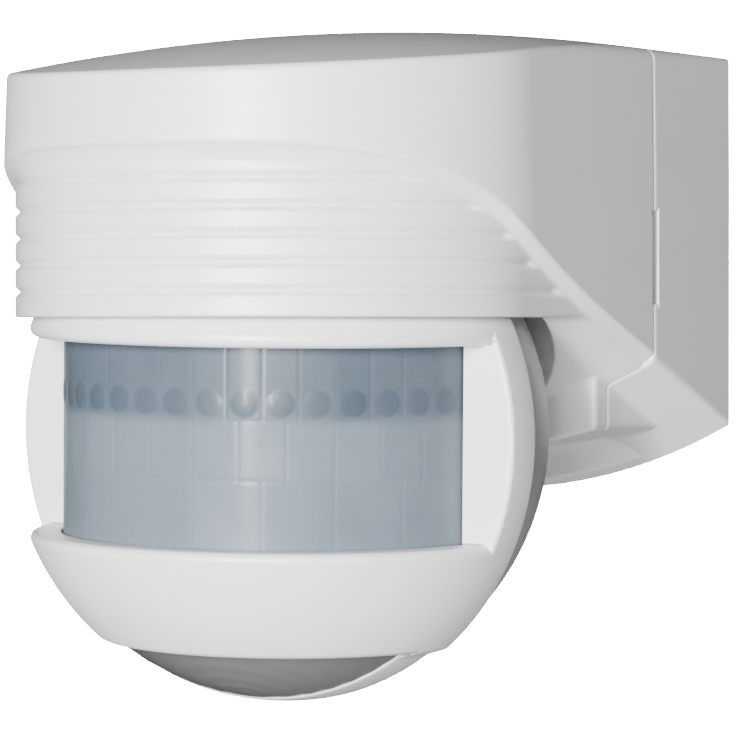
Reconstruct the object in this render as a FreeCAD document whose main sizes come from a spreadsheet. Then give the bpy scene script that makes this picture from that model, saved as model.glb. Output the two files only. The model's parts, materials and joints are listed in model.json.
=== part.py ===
import FreeCAD, Part
import os
import re
import Sketcher
from FreeCAD import Placement, Rotation, Vector

# Outdoor wall motion sensor: a ribbed hood on a wall base, with a ball-shaped sensor head in the hood's socket.
# Part frame: +Z up, the wall is the plane Y = 0, the front faces -Y, the origin is the centre of the wall screws.
# Hood frame (hood and base pieces): origin on the ball's vertical axis, level with the hood's lower edge.
# Ball frame (neck and head pieces): origin at the ball's centre, forward is -Y.

SIZES = {
    # where the two frames lie
    "ball_to_wall": 59.4, "skirt_height": -8.0, "ball_drop": 15.7,
    "head_pan": 5.0, "head_tilt": 2.0, "head_lean": 1.4,
    # outer form of hood and base
    "seam": 35.1, "body_half": 38.9, "rib_half": 37.3, "wall": 2.0, "base_wall": 2.6, "far": 60.0,
    "dome_r": 300.0, "dome_top": 40.8,
    "keel_r": 86.5, "keel_slope": 21.5, "keel_low": 25.5, "keel_run": 150.0,
    "sweep_top": 22.4, "sweep_bow": 67.5, "sweep_dip": 181.0, "sweep_turn": 31.0, "sweep_cut": 6.0,
    "groove_low": 3.45, "groove_step": 3.67, "groove_deep": 0.6, "groove_half": 0.55, "groove_count": 5,
    "block_half": 31.5, "block_front": 31.5, "block_low": 19.9, "block_top": 8.0, "block_bow": 122.0,
    "block_back": 50.5, "block_wall": 2.0,
    "slot_low": 1.9, "slot_tall": 13.2, "slot_front": 0.55, "slot_back": 1.2, "slot_deep": 1.6,
    # wall base
    "back_plate": 2.4, "screw_half_x": 25.0, "screw_half_z": 18.0, "screw_hole": 2.3,
    "recess_half": 26.3, "recess_roof": 16.4, "recess_front": 44.0, "recess_back": 56.6, "recess_wall": 2.0,
    "rear_entry": 9.0, "rear_entry_up": 20.0, "lower_entry": 4.6, "lower_entry_y": 50.3,
    "seal_deep": 1.5, "seal_wide": 1.2, "seal_in": 0.2,
    "grommet_lip": 1.6, "grommet_lip_thick": 1.2, "rear_cable": 4.0, "lower_cable": 2.8,
    "term_half": 15.0, "term_front": 44.0, "term_low": -5.0, "term_high": 7.0, "term_pitch": 9.0,
    "cage_half": 2.6, "cage_front": 48.0, "cage_back": 55.0, "cage_low": -2.5, "cage_high": 3.5,
    "wire_r": 1.7, "term_screw": 1.9, "driver_slot": 0.5, "play": 0.1,
    "strip_x": 14.0, "strip_long": 16.0, "strip_front": 42.0, "strip_low": 15.0, "strip_high": 22.0,
    "pin_r": 0.9, "pin_hole": 1.4, "pin_pitch": 5.0, "pin_tip": 49.0, "pin_well": 52.0, "header_deep": 5.0,
    # hood pieces
    "pocket_r": 38.8, "pocket_wall": 1.8, "pocket_room": 0.35,
    "boss_r": 10.0, "boss_low": 37.0, "boss_top": 42.8, "ring_in": 9.0, "ring_out": 15.0, "ring_room": 0.3,
    "board_front": 29.0, "board_thick": 1.6, "board_half": 34.4, "board_low": 14.0, "board_high": 34.0,
    "post_r": 3.0, "post_x": 32.4, "post_z": 24.0, "post_long": 8.0, "screw_r": 1.4, "screw_head": 2.6,
    "screw_head_tall": 1.6, "screw_long": 7.0,
    "clip_half": 0.7, "clip_x": 34.0, "clip_front": 28.0, "clip_back": 41.0,
    "relay_x": -29.2, "relay_wide": 18.6, "relay_deep": 15.2, "relay_low": 16.5, "relay_tall": 15.0,
    "film_x": -28.6, "film_wide": 13.0, "film_deep": 10.5, "film_low": 24.5, "film_tall": 9.0,
    "can_r": 5.0, "can_x": 21.0, "can_z": 27.0, "can_long": 14.0,
    "disc_r": 4.4, "disc_x": 9.5, "disc_z": 28.5, "disc_thick": 3.2, "disc_gap": 1.5,
    "coil_r": 4.0, "coil_x": -10.5, "coil_z": 28.5, "coil_long": 9.0,
    "plug_half": 3.5, "plug_low": 28.5, "plug_tall": 5.0, "plug_deep": 5.5,
    # swivel neck
    "stem_r": 6.0, "stem_bore": 4.0, "stem_top": 47.6, "cap_r": 33.9, "cap_thick": 2.0, "cap_rim": 12.7,
    "cap_low": 26.0, "washer_thick": 0.6, "washer_r": 9.2, "nut_r": 9.0, "nut_tall": 3.6, "slip": 0.05,
    "lead_r": 1.5, "lead_low": 21.0,
    # sensor head
    "shell_r": 36.2, "shell_wall": 2.0, "front_r": 38.2, "brow_top": 17.5,
    "slot_half": 7.4, "slot_fore": 13.2, "slot_aft": 24.2, "slot_floor": 18.0,
    "window_top": 13.0, "window_low": 13.4, "window_side": 7.5, "frame_thick": 2.0,
    "lens_r": 30.7, "lens_wall": 0.9, "lens_over": 1.4, "lens_gap": 0.25,
    "bowl_low": 28.6, "drop_side": 8.5, "drop_r": 36.9, "drop_wall": 1.2,
    "pcb_back": 3.0, "pcb_thick": 1.6, "pcb_half": 24.0, "pcb_tall": 16.0,
    "hub_r": 9.5, "hub_half": 6.5, "pir_r": 4.1, "pir_in": 8.6, "pir_out": 12.8, "pir_fan": 55.0, "pir_down_y": -3.0,
    "led_r": 1.5, "led_x": 15.0, "led_z": 9.0, "led_long": 4.5, "eye_half": 1.6, "eye_long": 1.6,
    "joint_x": 29.0, "joint_z": 10.0, "joint_boss": 3.4, "joint_back": 21.0, "joint_seat": 11.5, "joint_fore": 5.4,
    "gasket_r": 34.0, "gasket_wide": 1.2, "gasket_half": 0.6, "gasket_top": 16.0,
    "knob_x": 10.0, "knob_z": 13.0, "knob_r": 4.9, "knob_back": 29.0, "knob_front": 26.9, "well_r": 5.2,
    "well_floor": 26.5, "well_front": 25.0, "well_wall": 1.3, "shaft_r": 1.5, "shaft_front": 24.8, "notch": 0.5,
    "trim_r": 3.0, "trim_back": 24.6, "panel_back": 22.6, "panel_thick": 1.4, "panel_half": 15.5,
    "panel_low": 18.5, "panel_high": 8.0, "socket_half": 4.0, "socket_deep": 4.4, "socket_low": 7.0,
}

doc = FreeCAD.newDocument("motion_sensor")
sheet = doc.addObject("Spreadsheet::Sheet", "Sizes")
for row, (word, value) in enumerate(SIZES.items(), start=1):
    sheet.set(f"A{row}", word)
    sheet.set(f"B{row}", str(value))
    sheet.setAlias(f"B{row}", word)
doc.recompute()

WORDS = re.compile(r"[a-z][a-z0-9_]*")
ALONG = {"z": Rotation(), "y": Rotation(Vector(1, 0, 0), -90), "x": Rotation(Vector(0, 1, 0), 90)}
PIECES = []


def bound(text):
    """An expression in which every word of the sheet is looked up there."""
    return WORDS.sub(lambda word: ("Sizes." if word.group() in SIZES else "") + word.group(), str(text))


def bind(item, **fields):
    for field, text in fields.items():
        item.setExpression(field, bound(text))


def put(item, x, y, z, turn=ALONG["z"]):
    item.Placement = Placement(Vector(), turn)
    for letter, text in zip("xyz", (x, y, z)):
        item.setExpression(f"Placement.Base.{letter}", bound(text))
    return item


def brick(x0, x1, y0, y1, z0, z1):
    """A box between two corners."""
    item = doc.addObject("Part::Box", "Brick")
    bind(item, Length=f"({x1}) - ({x0})", Width=f"({y1}) - ({y0})", Height=f"({z1}) - ({z0})")
    return put(item, x0, y0, z0)


def wide(half, y0, y1, z0, z1):
    """A box centred on X = 0."""
    return brick(f"-({half})", half, y0, y1, z0, z1)


def rod(radius, start, end, x=0, y=0, z=0, along="z"):
    """A cylinder along one axis, between two stations on that axis."""
    item = doc.addObject("Part::Cylinder", "Rod")
    bind(item, Radius=radius, Height=f"({end}) - ({start})")
    place = {"x": (start, y, z), "y": (x, start, z), "z": (x, y, start)}[along]
    return put(item, *place, ALONG[along])


def ball(radius, y=0, z=0):
    item = doc.addObject("Part::Sphere", "Ball")
    bind(item, Radius=radius)
    return put(item, 0, y, z)


def join(*items):
    item = doc.addObject("Part::MultiFuse", "Join")
    item.Shapes = list(items)
    item.Refine = True
    return item


def overlap(*items):
    item = doc.addObject("Part::MultiCommon", "Overlap")
    item.Shapes = list(items)
    return item


def cut(base, *tools):
    item = doc.addObject("Part::Cut", "Cut")
    item.Base = base
    item.Tool = join(*tools) if len(tools) > 1 else tools[0]
    item.Refine = True
    return item


def piece(label, frame, *items):
    """Name a finished sub-part and place it from its own frame into the part frame."""
    item = items[0]
    if len(items) > 1 or item.TypeId not in ("Part::Cut", "Part::MultiFuse", "Part::MultiCommon"):
        item = doc.addObject("Part::Compound", "Group")
        item.Links = list(items)
    item.Label = label
    rise = "skirt_height" if frame == "hood" else "skirt_height - ball_drop"
    turn = "head_pan; head_lean; head_tilt" if frame == "head" else "0; 0; 0"
    place = f"create(<<placement>>; create(<<vector>>; 0; -ball_to_wall; {rise}); create(<<rotation>>; {turn}))"
    item.setExpression("Placement", bound(place))
    PIECES.append(item)
    return item


def outline_pad(name, corners, arcs, half):
    """A body padded both ways from the YZ plane; arcs maps a side to its radius and to +1 where it bulges out."""
    body = doc.addObject("PartDesign::Body", name)
    sketch = body.newObject("Sketcher::SketchObject", name + "_outline")
    plane = next(item for item in body.Origin.OriginFeatures if item.Role == "YZ_Plane")
    sketch.AttachmentSupport = (plane, "")
    sketch.MapMode = "FlatFace"
    spots = [Vector(value(across), value(up), 0) for across, up in corners]
    for side, spot in enumerate(spots):
        after = spots[(side + 1) % len(spots)]
        sketch.addGeometry(side_curve(spot, after, *arcs[side]) if side in arcs else Part.LineSegment(spot, after))
    for side in range(len(spots)):
        start = 2 if side in arcs and arcs[side][1] > 0 else 1
        before = (side - 1) % len(spots)
        end = 1 if before in arcs and arcs[before][1] > 0 else 2
        sketch.addConstraint(Sketcher.Constraint("Coincident", before, end, side, start))
        for way, text, place in zip(("DistanceX", "DistanceY"), corners[side], (spots[side].x, spots[side].y)):
            index = sketch.addConstraint(Sketcher.Constraint(way, -1, 1, side, start, place))
            sketch.setExpression(f"Constraints[{index}]", bound(text))
    for side, (radius, _) in arcs.items():
        index = sketch.addConstraint(Sketcher.Constraint("Radius", side, value(radius)))
        sketch.setExpression(f"Constraints[{index}]", bound(radius))
    pad = body.newObject("PartDesign::Pad", name + "_pad")
    pad.Profile = sketch
    pad.SideType = "Symmetric"
    bind(pad, Length=f"2 * ({half})")
    return body


def value(text):
    """What an expression of the sheet's words comes to, for a sketch's first guess."""
    number = sheet.evalExpression(bound(text).replace("Sizes.", ""))
    return float(getattr(number, "Value", number))


def side_curve(spot, after, radius, bulge):
    """The arc from one corner to the next, bulging to its left (+1) or right (-1)."""
    chord = after - spot
    reach = value(radius)
    rise = reach - (reach ** 2 - chord.Length ** 2 / 4) ** 0.5
    left = Vector(-chord.y, chord.x, 0).normalize()
    return Part.Arc(spot, (spot + after) * 0.5 + left * rise * bulge, after)


# ---- outer form shared by hood and base, hood frame ----

def keel(inset):
    """Everything above the hollow-backed underside, which runs down towards the wall at a steady slope."""
    item = rod(f"keel_r - {inset}", 0, "keel_run + far")
    item.Placement = Placement(Vector(), Rotation(Vector(-1, 0, 0), 90))
    bind(item, **{
        "Placement.Rotation.Angle": "90 + keel_slope",
        "Placement.Base.y": "ball_to_wall - keel_run * cos(keel_slope)",
        "Placement.Base.z": "keel_r / cos(keel_slope) - keel_low + keel_run * sin(keel_slope)",
    })
    return item


def crown(inset, front, back):
    """Everything below the bowed top of the base."""
    return rod(f"dome_r - {inset}", front, back, z="dome_top - dome_r", along="y")


def dome(inset):
    """Everything below the hood's vaulted roof."""
    return ball(f"dome_r - {inset}", y="seam", z="dome_top - dome_r")


def base_prism(inset, front, back):
    """The section that hood and base share, at an inset from its outside."""
    block = wide(f"body_half - {inset}", front, back, "-far", "far")
    return overlap(block, crown(inset, front, back), keel(inset))


def block_prism(inset, front, back):
    """The blunt block under the middle of hood and base."""
    box = wide(f"block_half - {inset}", front, back, "-far", "-block_top")
    return overlap(box, rod(f"block_bow - {inset}", front, back, z="block_bow - block_low", along="y"))


def hood_plan(half, low, high):
    """A half-round nose about the ball's axis with flat sides back to the seam."""
    nose = overlap(rod(half, low, high), wide("far", "-far", "slip", low, high))
    return join(nose, wide(half, 0, "seam", low, high))


def pocket(inset):
    return ball(f"pocket_r + {inset}", z="-ball_drop")


def snap_slot():
    """The release slots on both sides, half in the hood and half in the base."""
    return cut(
        wide("body_half + 1", "seam - slot_front", "seam + slot_back", "slot_low", "slot_low + slot_tall"),
        wide("body_half - slot_deep", "seam - slot_front", "seam + slot_back", "slot_low", "slot_low + slot_tall"),
    )


# ---- wall base ----

def wall_base():
    outside = join(base_prism("0", "seam", "ball_to_wall"), block_prism("0", "seam", "block_back"))
    inside = join(
        base_prism("base_wall", "seam - 1", "ball_to_wall - back_plate"),
        block_prism("block_wall", "seam - 1", "block_back - block_wall"),
    )
    recess = wide("recess_half", "recess_front", "recess_back", "-far", "-recess_roof")
    recess_shell = overlap(
        wide("recess_half + recess_wall", "recess_front - recess_wall", "ball_to_wall - back_plate / 2",
             "-far", "recess_wall - recess_roof"),
        outside,
    )
    holes = [
        rod("screw_hole", "recess_back - 1", "ball_to_wall + 1", f"{side} * screw_half_x",
            z=f"{up} * screw_half_z - skirt_height", along="y")
        for side in (-1, 1) for up in (-1, 1)
    ]
    rear = rod("rear_entry", "recess_back - 1", "ball_to_wall + 1", z="rear_entry_up", along="y")
    lower = rod("lower_entry", "-recess_roof - 1", "recess_wall - recess_roof + 1", y="lower_entry_y")
    shell = join(cut(outside, inside), recess_shell)
    room = pocket("pocket_wall + pocket_room")
    piece("wall_base", "hood", cut(shell, recess, room, snap_slot(), rear, lower, *holes))


def base_fittings():
    lip = "grommet_lip"
    thick = "grommet_lip_thick"
    inner = "ball_to_wall - back_plate"
    middle = "rear_entry_up"
    rear = join(
        rod("rear_entry - slip", f"{inner} - 0.01", "ball_to_wall - 0.2", z=middle, along="y"),
        rod(f"rear_entry + {lip}", f"{inner} - {thick}", inner, z=middle, along="y"),
    )
    piece("rear_grommet", "hood", cut(rear, rod("rear_cable", "recess_front", "far", z=middle, along="y")))
    roof = "recess_wall - recess_roof"
    lower = join(
        rod("lower_entry - slip", "-recess_roof", f"{roof} + 0.01", y="lower_entry_y"),
        rod(f"lower_entry + {lip}", roof, f"{roof} + {thick}", y="lower_entry_y"),
    )
    piece("lower_grommet", "hood", cut(lower, rod("lower_cable", "-far", "far", y="lower_entry_y")))
    deep = ("seam + seal_in", "seam + seal_in + seal_deep")
    ring = cut(base_prism("base_wall", *deep), base_prism("(base_wall + seal_wide)", *deep),
               pocket("pocket_wall + pocket_room"))
    piece("cover_seal", "hood", ring)


def terminal_block():
    poles = [f"{place} * term_pitch" for place in (-1, 0, 1)]
    back = "ball_to_wall - back_plate"
    body = wide("term_half", "term_front", back, "term_low", "term_high")
    cages = [brick(f"{x} - cage_half", f"{x} + cage_half", "cage_front", "cage_back", "cage_low", "cage_high")
             for x in poles]
    middle = "(cage_front + cage_back) / 2"
    wires = [rod("wire_r", "term_low - 1", "cage_low + 1", x, middle) for x in poles]
    level = "(cage_low + cage_high) / 2"
    shafts = [rod("term_screw + play", "term_front - 1", "cage_front + 1", x, z=level, along="y") for x in poles]
    piece("terminal_block", "hood", cut(body, *cages, *wires, *shafts))
    clamps = []
    for x in poles:
        cage = brick(f"{x} - cage_half + play", f"{x} + cage_half - play", "cage_front + play", "cage_back - play",
                     "cage_low + play", "cage_high - play")
        clamps.append(cut(cage, rod("wire_r", "term_low", "cage_high - 1", x, middle)))
    piece("terminal_clamps", "hood", *clamps)
    screws = []
    for x in poles:
        shank = rod("term_screw", "term_front + 1", "cage_front", x, z=level, along="y")
        slot = brick(f"{x} - term_screw", f"{x} + term_screw", "term_front", "term_front + 2",
                     f"{level} - driver_slot / 2", f"{level} + driver_slot / 2")
        screws.append(cut(shank, slot))
    piece("terminal_screws", "hood", *screws)


def plug_pair():
    """The base's socket strip and the hood's pins, which part when the hood is pulled forward."""
    pins = [f"strip_x + strip_long / 2 + {place} * pin_pitch" for place in (-1, 0, 1)]
    level = "(strip_low + strip_high) / 2"
    strip = brick("strip_x", "strip_x + strip_long", "strip_front", "ball_to_wall - back_plate",
                  "strip_low", "strip_high")
    wells = [rod("pin_hole", "strip_front - 1", "pin_well", x, z=level, along="y") for x in pins]
    piece("socket_strip", "hood", cut(strip, *wells))
    board = "board_front + board_thick"
    bar = brick("strip_x", "strip_x + strip_long", board, f"{board} + header_deep", "strip_low", "strip_high")
    bores = [rod("pin_r", board, f"{board} + header_deep", x, z=level, along="y") for x in pins]
    piece("pin_header", "hood", cut(bar, *bores))
    piece("plug_pins", "hood", *[rod("pin_r", board, "pin_tip", x, z=level, along="y") for x in pins])


# ---- hood ----

def below_sweep():
    """The space under the swept edge: a bow, a dip, then the keel's own slope."""
    bow_end = ("sweep_bow * sin(sweep_turn) - body_half", "sweep_top - sweep_bow * (1 - cos(sweep_turn))")
    dip_end = (f"{bow_end[0]} + sweep_dip * (sin(sweep_turn) - sin(keel_slope))",
               f"{bow_end[1]} - sweep_dip * (cos(keel_slope) - cos(sweep_turn))")
    corners = [
        ("-far", "sweep_top"), ("-far", "-sweep_cut"), (dip_end[0], "-sweep_cut"), dip_end, bow_end,
        ("-body_half", "sweep_top"),
    ]
    return outline_pad("Below_sweep", corners, {3: ("sweep_dip", -1), 4: ("sweep_bow", 1)}, "far")


def hood_cover():
    upper = overlap(hood_plan("body_half", 0, "far"), dome("0"))
    lower = overlap(hood_plan("body_half", "-far", "far"), dome("0"), keel("0"))
    bulge = overlap(pocket("pocket_wall"), wide("far", "block_front", "far", "-far", "0"),
                    rod("block_bow", "0", "far", z="block_bow - block_low", along="y"))
    mass = join(upper, lower, block_prism("0", "block_front", "seam"), bulge)
    under = below_sweep()
    trim = overlap(cut(hood_plan("body_half + 1", "-sweep_cut", "far"), hood_plan("rib_half", "-far", "far")), under)
    grooves = []
    for place in range(int(SIZES["groove_count"])):
        level = f"(groove_low + {place} * groove_step)"
        ends = (f"{level} - groove_half", f"{level} + groove_half")
        ring = cut(hood_plan("body_half", *ends), hood_plan("rib_half - groove_deep", *ends))
        grooves.append(overlap(ring, under))
    inner = "(rib_half - wall)"
    cavity = cut(
        join(
            overlap(hood_plan(inner, "wall", "far"), dome("wall")),
            overlap(hood_plan(inner, "-far", "far"), dome("wall"), keel("wall")),
        ),
        pocket("pocket_wall"),
    )
    boss = rod("boss_r", "boss_low - ball_drop", "boss_top - ball_drop")
    posts = [rod("post_r", "board_front - post_long", "board_front", f"{side} * post_x", z="post_z", along="y")
             for side in (-1, 1)]
    holes = [rod("screw_r", "board_front - screw_long", "board_front + 1", f"{side} * post_x", z="post_z", along="y")
             for side in (-1, 1)]
    pads = cut(wide(f"{inner} + slip", "clip_front", "seam", *clip_height()),
               wide("clip_x + clip_half", "clip_front - 1", "clip_back", *clip_height()))
    shell = join(cut(mass, trim, *grooves, cavity), boss, *posts, pads)
    bore = rod("stem_r + slip", "0", "boss_top - ball_drop + 1")
    piece("hood_cover", "hood", cut(shell, pocket("0"), bore, snap_slot(), *holes))


def clip_height():
    return "slot_low", "slot_low + slot_tall / 2"


def hood_fittings():
    band = cut(ball("pocket_r"), ball("shell_r + ring_room"))
    tube = cut(rod("ring_out", 0, "far"), rod("ring_in", 0, "far"))
    piece("seat_ring", "ball", overlap(band, tube))
    clip_x = "clip_x"
    clips = [brick(f"{side} * {clip_x} - clip_half", f"{side} * {clip_x} + clip_half", "clip_front", "clip_back",
                   *clip_height()) for side in (-1, 1)]
    piece("cover_clips", "hood", *clips)


def power_board():
    back = "board_front + board_thick"
    board = wide("board_half", "board_front", back, "board_low", "board_high")
    holes = [rod("screw_r", "board_front - 1", f"{back} + 1", f"{side} * post_x", z="post_z", along="y")
             for side in (-1, 1)]
    piece("power_board", "hood", cut(board, *holes))
    screws = []
    for side in (-1, 1):
        place = {"x": f"{side} * post_x", "z": "post_z", "along": "y"}
        shank = rod("screw_r - slip", "board_front - screw_long", f"{back} + 0.01", **place)
        screws.append(join(shank, rod("screw_head", back, f"{back} + screw_head_tall", **place)))
    piece("board_screws", "hood", *screws)
    piece("relay", "hood", brick("relay_x", "relay_x + relay_wide", back, f"{back} + relay_deep",
                                 "relay_low", "relay_low + relay_tall"))
    front = "board_front"
    piece("film_capacitor", "hood", brick("film_x", "film_x + film_wide", f"{front} - film_deep", front,
                                          "film_low", "film_low + film_tall"))
    piece("smoothing_capacitor", "hood", rod("can_r", f"{front} - can_long", front, "can_x", z="can_z", along="y"))
    piece("varistor", "hood", rod("disc_r", f"{front} - disc_gap - disc_thick", f"{front} - disc_gap", "disc_x",
                                  z="disc_z", along="y"))
    piece("choke", "hood", rod("coil_r", f"{front} - coil_long", front, "coil_x", z="coil_z", along="y"))
    piece("board_connector", "hood", wide("plug_half", f"{front} - plug_deep", front, "plug_low",
                                          "plug_low + plug_tall"))


# ---- swivel neck, ball frame ----

def swivel_neck():
    cap = overlap(cut(ball("cap_r"), ball("cap_r - cap_thick")), rod("cap_rim", "cap_low", "far"))
    stem = join(cap, rod("stem_r", "cap_r - cap_thick", "stem_top"))
    piece("swivel_stem", "ball", cut(stem, rod("stem_bore", 0, "far")))
    top = "boss_top + washer_thick"
    piece("wave_washer", "ball", cut(rod("washer_r", "boss_top + slip", f"{top}"), rod("stem_r + slip", 0, "far")))
    nut = cut(rod("nut_r", top, f"{top} + nut_tall"), rod("stem_r", 0, "far"))
    flats = wide("nut_r * cos(30)", "-nut_r", "nut_r", top, f"{top} + nut_tall")
    piece("stem_nut", "ball", overlap(nut, flats))
    piece("stem_lead", "ball", rod("lead_r", "lead_low", "stem_top + 2"))


# ---- sensor head ----

def tilt_slot():
    """The opening in the top of the ball that the stem travels along."""
    return wide("slot_half", "-slot_fore", "slot_aft", "slot_floor", "far")


def joint_rods(radius, front, back):
    return [rod(radius, front, back, f"{side} * joint_x", z="joint_z", along="y") for side in (-1, 1)]


def front_shell():
    half = wide("far", "-far", 0, "-far", "far")
    skin = cut(ball("shell_r"), ball("shell_r - shell_wall"))
    proud = overlap(cut(ball("front_r"), ball("shell_r - shell_wall")), wide("far", "-far", 0, "-far", "brow_top"))
    bosses = overlap(join(*joint_rods("joint_boss", "-joint_fore", 0)), ball("shell_r"))
    frame = overlap(
        ball("front_r"),
        join(
            wide("far", "-far", "frame_thick - window_side", "window_top", "window_top + frame_thick"),
            wide("far", "-far", "frame_thick - window_side", "-window_low - frame_thick", "-window_low"),
            wide("far", "-window_side", "frame_thick - window_side", "-window_low", "window_top"),
        ),
    )
    solid = join(overlap(skin, half), proud, frame, bosses)
    window = wide("far", "-far", "-window_side", "-window_low", "window_top")
    barrel = rod("lens_r + lens_gap", "-window_low - frame_thick", "window_top + frame_thick")
    barrel_front = overlap(barrel, wide("far", "-far", "frame_thick - window_side", "-far", "far"))
    drop = wide("far", "-far", "-drop_side", "-far", "-bowl_low")
    piece("head_front_shell", "head", cut(solid, window, barrel_front, drop, tilt_slot(),
                                          *joint_rods("screw_r", "-joint_fore", 1)))


def rear_shell():
    skin = cut(ball("shell_r"), ball("shell_r - shell_wall"))
    half = wide("far", 0, "far", "-far", "far")
    bosses = join(*joint_rods("joint_boss", 0, "joint_back"))
    wells = [rod("well_r + well_wall", "well_front", "far", f"{side} * knob_x", z="-knob_z", along="y")
             for side in (-1, 1)]
    solid = join(overlap(skin, half), overlap(join(bosses, *wells), ball("shell_r")))
    room = [rod("well_r", "well_floor", "far", f"{side} * knob_x", z="-knob_z", along="y") for side in (-1, 1)]
    bores = [rod("shaft_r + slip", 0, "far", f"{side} * knob_x", z="-knob_z", along="y") for side in (-1, 1)]
    piece("head_rear_shell", "head", cut(solid, tilt_slot(), *room, *bores, *joint_rods("screw_r", -1, "far"),
                                         *joint_rods("screw_head + play", "joint_seat", "far")))
    screws = [join(low, high) for low, high in zip(
        joint_rods("screw_r - slip", "-joint_fore", "joint_seat + 0.01"),
        joint_rods("screw_head", "joint_seat", "joint_seat + screw_head_tall"))]
    piece("head_screws", "head", *screws)
    ring = cut(rod("gasket_r", "-gasket_half", "gasket_half", along="y"),
               rod("gasket_r - gasket_wide", "-gasket_half", "gasket_half", along="y"),
               wide("far", "-gasket_half", "gasket_half", "gasket_top", "far"))
    piece("head_seal", "head", cut(ring, *joint_rods("joint_boss", "-joint_fore", "joint_back")))


def lenses():
    tube = cut(rod("lens_r", "-window_low - lens_over", "window_top + lens_over"),
               rod("lens_r - lens_wall", "-far", "far"))
    piece("fresnel_lens", "head", overlap(tube, wide("far", "-far", "frame_thick - window_side", "-far", "far")))
    skin = cut(ball("drop_r"), ball("drop_r - drop_wall"))
    piece("creep_zone_lens", "head", overlap(skin, wide("far", "-far", "-drop_side", "-far", "-bowl_low")))


def pir_can(turn):
    """A round metal sensor can pointing forward from the hub, turned about the vertical."""
    can = rod("pir_r", 0, "pir_out - pir_in")
    can.Placement = Placement(Vector(), Rotation(Vector(1, 0, 0), 90))
    aim = doc.addObject("Part::Compound", "Can")
    aim.Links = [can]
    bind(can, **{"Placement.Base.y": "-pir_in"})
    aim.Placement = Placement(Vector(), Rotation(Vector(0, 0, 1), 0))
    bind(aim, **{"Placement.Rotation.Angle": f"{turn} * pir_fan"})
    return aim


def sensor_parts():
    back = "pcb_back + pcb_thick"
    piece("sensor_board", "head", wide("pcb_half", "pcb_back", back, "-pcb_tall", "pcb_tall"))
    cans = [pir_can(turn) for turn in (-1, 0, 1)]
    hub = overlap(rod("hub_r", "-hub_half", "hub_half"), wide("far", "-far", "pcb_back", "-far", "far"))
    piece("sensor_hub", "head", cut(hub, *cans))
    piece("pir_sensors", "head", *cans)
    piece("creep_zone_sensor", "head", rod("pir_r", "-hub_half - pir_out + pir_in", "-hub_half", y="pir_down_y"))
    piece("status_led", "head", rod("led_r", "pcb_back - led_long", "pcb_back", "led_x", z="led_z", along="y"))
    piece("light_sensor", "head", brick("-led_x - eye_half", "-led_x + eye_half", "pcb_back - eye_long", "pcb_back",
                                        "led_z - eye_half", "led_z + eye_half"))
    piece("head_connector", "head", wide("socket_half", back, f"{back} + socket_deep", "socket_low",
                                         "socket_low + 1.5 * socket_half"))
    rear = "panel_back"
    piece("dial_board", "head", wide("panel_half", f"{rear} - panel_thick", rear, "-panel_low", "-panel_high"))
    piece("trimmers", "head", *[rod("trim_r", rear, "trim_back", f"{side} * knob_x", z="-knob_z", along="y")
                                for side in (-1, 1)])


def dial(label, side):
    place = {"x": f"{side} * knob_x", "z": "-knob_z", "along": "y"}
    knob = join(rod("knob_r", "knob_front", "knob_back", **place),
                rod("shaft_r", "shaft_front", "knob_front + 0.01", **place))
    slot = brick(f"{side} * knob_x - notch", f"{side} * knob_x + notch", "knob_back - 2 * notch", "knob_back + 1",
                 "-knob_z - knob_r / 3", "-knob_z + knob_r + 1")
    piece(label, "head", cut(knob, slot))


wall_base()
base_fittings()
terminal_block()
plug_pair()
hood_cover()
hood_fittings()
power_board()
swivel_neck()
front_shell()
rear_shell()
lenses()
sensor_parts()
dial("time_dial", -1)
dial("light_dial", 1)
doc.recompute()

faults = [item.Name for item in doc.Objects if {"Invalid", "Error"} & set(item.State)]
faults += [item.Label for item in PIECES if item.Shape.isNull() or not item.Shape.isValid() or not item.Shape.Solids]
if faults:
    raise RuntimeError("failed: " + ", ".join(faults))

os.makedirs("parts", exist_ok=True)
for item in PIECES:
    item.Shape.exportStep(f"parts/{item.Label}.step")
    print(f"{item.Label:22s} {len(item.Shape.Solids)} solids  {item.Shape.Volume / 1000:8.3f} cm3")
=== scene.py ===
import json
import math

import bpy
import numpy as np
from mathutils import Euler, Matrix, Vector

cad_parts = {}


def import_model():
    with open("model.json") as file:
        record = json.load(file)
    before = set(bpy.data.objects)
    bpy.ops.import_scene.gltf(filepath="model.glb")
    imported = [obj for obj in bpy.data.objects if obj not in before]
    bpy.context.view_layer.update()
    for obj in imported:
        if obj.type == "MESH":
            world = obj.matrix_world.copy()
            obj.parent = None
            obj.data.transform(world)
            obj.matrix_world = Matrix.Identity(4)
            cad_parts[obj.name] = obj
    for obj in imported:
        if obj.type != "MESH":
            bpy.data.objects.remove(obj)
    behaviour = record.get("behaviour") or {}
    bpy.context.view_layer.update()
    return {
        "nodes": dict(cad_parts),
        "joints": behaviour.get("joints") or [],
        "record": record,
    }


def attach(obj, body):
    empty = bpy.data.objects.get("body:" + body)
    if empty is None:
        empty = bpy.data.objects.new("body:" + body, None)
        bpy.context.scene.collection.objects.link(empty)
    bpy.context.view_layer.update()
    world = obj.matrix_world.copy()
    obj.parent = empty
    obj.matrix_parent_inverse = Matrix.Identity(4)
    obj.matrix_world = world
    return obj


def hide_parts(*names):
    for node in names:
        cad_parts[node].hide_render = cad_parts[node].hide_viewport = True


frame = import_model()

# ---------------------------------------------------------------- sizes, in millimetres
BALL = Vector(next(j["pos_m"] for j in frame["joints"] if j["name"] == "head_pan")) * 1000
BALL_DROP = 15.7                       # the ball's centre under the hood's lower edge
SKIRT = BALL.z + BALL_DROP             # the hood's lower edge in the row frame
TO_WALL = -BALL.y                      # the ball's axis to the wall
HEAD_TURN = (2.0, 1.4, 5.0)            # tilt, lean and pan of the stored pose, degrees
LOOK = 32.0                            # the camera's bearing round the ball's axis, degrees

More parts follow.
